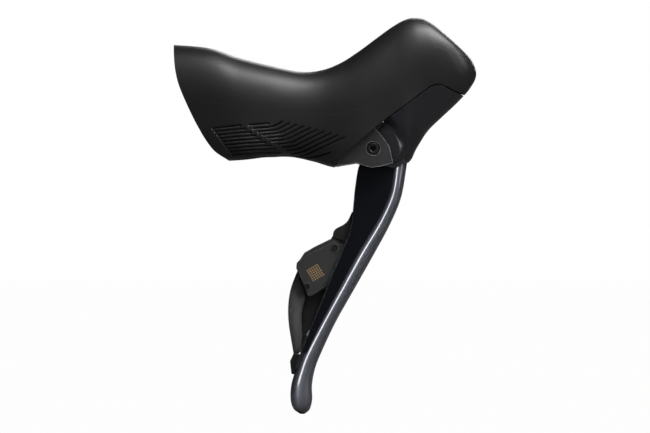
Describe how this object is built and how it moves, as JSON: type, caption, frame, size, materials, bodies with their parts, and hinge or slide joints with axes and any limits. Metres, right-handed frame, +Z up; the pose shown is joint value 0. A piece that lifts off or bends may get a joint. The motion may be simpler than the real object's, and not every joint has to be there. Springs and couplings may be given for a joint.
{
  "type": "brake shift lever",
  "caption": "Drop-handlebar brake lever with rubber hood, hydraulic master cylinder, curved metal blade and electronic shift buttons behind it; left hand.",
  "frame": {"origin": "centre of the handlebar clamp, on the handlebar's axis at the middle of the saddle", "axes": "+X forward on the bicycle, +Y outboard (to the rider's left), +Z up"},
  "size_m": [0.1321, 0.0376, 0.1732],
  "materials": {
    "bracket": "glass-fibre filled moulded plastic",
    "hood_rubber": "matte fine-grained elastomer",
    "cap_plastic": "satin moulded plastic",
    "blade_metal": "smooth metallic dark grey lacquer over alloy",
    "button_plastic": "finely textured moulded plastic",
    "housing_plastic": "moulded plastic",
    "steel": "plain",
    "dark_steel": "black oxide",
    "alloy": "machined, anodised",
    "bronze": "plain",
    "seal_rubber": "smooth",
    "board": "solder mask",
    "cable_jacket": "smooth"
  },
  "bodies": {
    "root": {"bracket_body": "bracket", "hood": "hood_rubber", "main_axle": "steel", "axle_screw": "dark_steel", "cylinder_sleeve": "alloy", "piston_stop_ring": "steel", "reservoir_diaphragm": "seal_rubber", "reservoir_lid": "bracket", "reservoir_lid_screws": "steel", "bleed_screw": "dark_steel", "bleed_seal": "seal_rubber", "hose_nut": "alloy", "hose_olive": "bronze", "hose_insert": "bronze", "circuit_board": "board", "port_unit": "housing_plastic", "port_plugs": "seal_rubber", "function_switch": "steel"},
    "function_button": {"function_button": "button_plastic"},
    "clamp_band": {"clamp_band": "steel", "clamp_nut": "steel"},
    "clamp_bolt": {"clamp_bolt": "steel"},
    "piston": {"piston": "alloy", "primary_cup": "seal_rubber", "secondary_cup": "seal_rubber", "pushrod": "steel", "piston_spring": "steel", "dust_boot": "seal_rubber"},
    "brake_arm": {"brake_arm": "alloy", "arm_bush": "bronze", "roller_pin": "steel", "return_spring": "steel"},
    "roller": {"roller": "steel"},
    "reach_screw": {"reach_screw": "dark_steel"},
    "lever": {"lever_blade": "blade_metal", "pivot_bushes": "bronze", "front_cap": "cap_plastic", "front_cap_screws": "dark_steel", "switch_housing": "housing_plastic", "switch_lid": "housing_plastic", "switch_lid_screws": "steel", "switch_board": "board", "tact_switches": "steel", "button_axle": "steel", "front_button_spring": "steel", "rear_button_spring": "steel", "switch_cable": "cable_jacket", "cable_boot": "seal_rubber", "end_block": "seal_rubber"},
    "front_button": {"front_button": "button_plastic"},
    "rear_button": {"rear_button": "button_plastic"}
  },
  "joints": [
    {"name": "brake_pull", "type": "hinge", "parent": "root", "child": "brake_arm", "pos_m": [0.0641, 0, -0.0155], "axis": [0, 1, 0], "range_deg": [0, 22], "deforming": ["return_spring"]},
    {"name": "reach_adjust", "type": "hinge", "parent": "brake_arm", "child": "lever", "pos_m": [0.0641, 0, -0.0155], "axis": [0, 1, 0], "range_deg": [0, 8]},
    {"name": "piston_slide", "type": "slide", "parent": "root", "child": "piston", "axis": [0.6428, 0, 0.766], "range_m": [0, 0.00516], "deforming": ["piston_spring", "dust_boot"]},
    {"name": "roller_turn", "type": "hinge", "parent": "brake_arm", "child": "roller", "pos_m": [0.05273, 0, -0.0092], "axis": [0, 1, 0], "continuous": true},
    {"name": "reach_screw_advance", "type": "slide", "parent": "brake_arm", "child": "reach_screw", "axis": [0.866, 0, -0.5], "range_m": [0, 0.0016]},
    {"name": "front_button_press", "type": "hinge", "parent": "lever", "child": "front_button", "pos_m": [0.0352, 0.0046, -0.0966], "axis": [0.4665, 0, 0.8845], "range_deg": [0, 4], "deforming": ["front_button_spring"]},
    {"name": "rear_button_press", "type": "hinge", "parent": "lever", "child": "rear_button", "pos_m": [0.0352, 0.0046, -0.0966], "axis": [0.4665, 0, 0.8845], "range_deg": [0, 4], "deforming": ["rear_button_spring"]},
    {"name": "function_press", "type": "slide", "parent": "root", "child": "function_button", "axis": [-0.866, 0, -0.5], "range_m": [0, 0.0006]},
    {"name": "clamp_bolt_turn", "type": "hinge", "parent": "root", "child": "clamp_bolt", "pos_m": [0, 0.0124, 0], "axis": [0.9063, 0, 0.4226], "range_deg": [0, 720]},
    {"name": "clamp_band_slide", "type": "slide", "parent": "root", "child": "clamp_band", "axis": [-0.9063, 0, -0.4226], "range_m": [0, 0.00156]}
  ],
  "couplings": [
    {"joint": "piston_slide", "follows": "brake_pull", "m_per_rad": 0.01292},
    {"joint": "reach_screw_advance", "follows": "reach_adjust", "m_per_rad": 0.011},
    {"joint": "clamp_bolt_turn", "follows": "clamp_band_slide", "rad_per_m": 7854}
  ]
}
